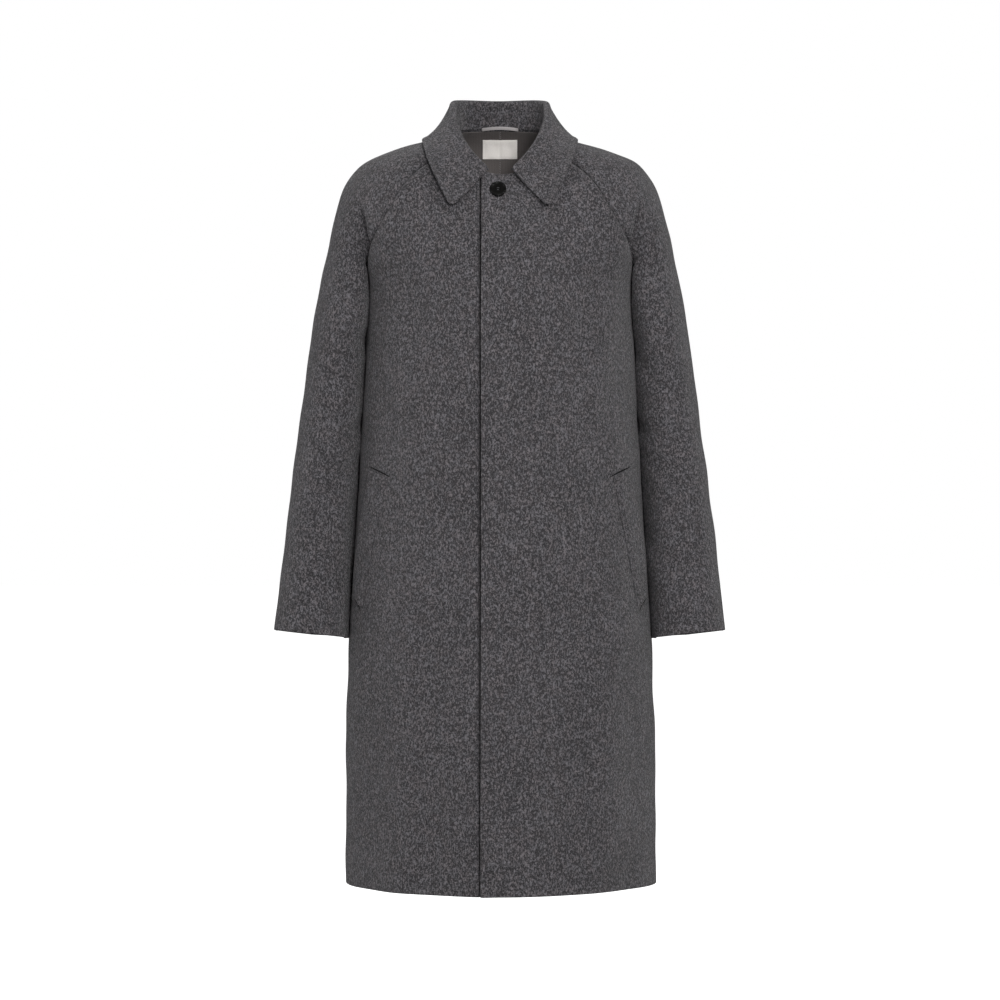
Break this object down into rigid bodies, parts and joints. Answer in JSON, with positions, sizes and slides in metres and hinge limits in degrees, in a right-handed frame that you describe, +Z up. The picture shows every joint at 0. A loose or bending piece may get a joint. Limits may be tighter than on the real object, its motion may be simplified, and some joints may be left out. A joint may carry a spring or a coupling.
{
  "type": "overcoat",
  "caption": "Knee-length charcoal cashmere overcoat with raglan sleeves, turn-down collar, slanted welt pockets and a covered front buttoned at the neck, hollow as if worn.",
  "frame": {"origin": "midway between the points where the two shoulders meet the collar, where the wearer's shoulders carry the coat", "axes": "+Z up along the coat's length, the front faces -Y, +X is the wearer's left"},
  "size_m": [0.665, 0.338, 1.1631],
  "materials": {
    "charcoal_cashmere": "soft felted cashmere cloth, charcoal melange",
    "lining": "smooth brown-grey facing cloth",
    "label_tape": "plain off-white woven tape",
    "loop_tape": "grey woven tape",
    "button_horn": "polished black horn or plastic"
  },
  "bodies": {
    "root": {"front_left": "charcoal_cashmere", "front_right": "charcoal_cashmere", "back_left": "charcoal_cashmere", "back_right": "charcoal_cashmere", "sleeve_front_left": "charcoal_cashmere", "sleeve_front_right": "charcoal_cashmere", "sleeve_back_left": "charcoal_cashmere", "sleeve_back_right": "charcoal_cashmere", "collar_stand": "charcoal_cashmere", "collar_fall": "charcoal_cashmere", "pocket_welt_left": "charcoal_cashmere", "pocket_welt_right": "charcoal_cashmere", "back_neck_facing": "lining", "neck_label": "label_tape", "hanger_loop": "loop_tape", "button_top": "button_horn"}
  },
  "joints": []
}
